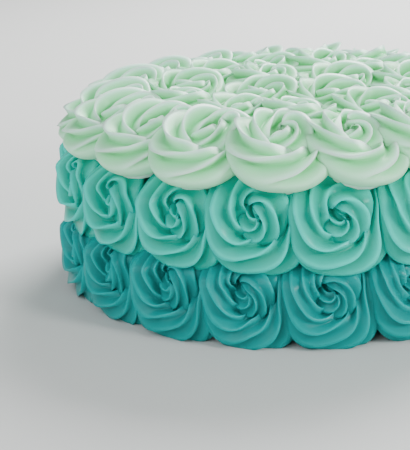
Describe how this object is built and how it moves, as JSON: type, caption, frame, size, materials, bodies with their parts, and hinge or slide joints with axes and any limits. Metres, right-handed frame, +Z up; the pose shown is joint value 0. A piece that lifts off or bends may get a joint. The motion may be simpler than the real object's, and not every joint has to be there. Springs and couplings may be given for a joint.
{
  "type": "layer cake",
  "caption": "Round layer cake covered in piped buttercream rosettes that fade from deep teal at the foot through turquoise to pale mint on top.",
  "frame": {"origin": "centre of the cake's flat underside, at the height of the surface it stands on", "axes": "+Z up along the cake's axis; -Y towards the front shown in the picture, +X to its right"},
  "size_m": [0.2446, 0.2447, 0.0975],
  "materials": {
    "cake": "dark, matt, open crumb",
    "lower_buttercream": "smooth, softly glossy teal buttercream",
    "middle_buttercream": "smooth, softly glossy turquoise buttercream",
    "edge_buttercream": "smooth, softly glossy pale mint buttercream",
    "top_buttercream": "smooth, softly glossy pale mint buttercream"
  },
  "bodies": {
    "root": {"cake": "cake", "lower_rosettes": "lower_buttercream", "middle_rosettes": "middle_buttercream", "edge_rosettes": "edge_buttercream", "top_rosettes": "top_buttercream", "centre_rosettes": "top_buttercream"}
  },
  "joints": []
}
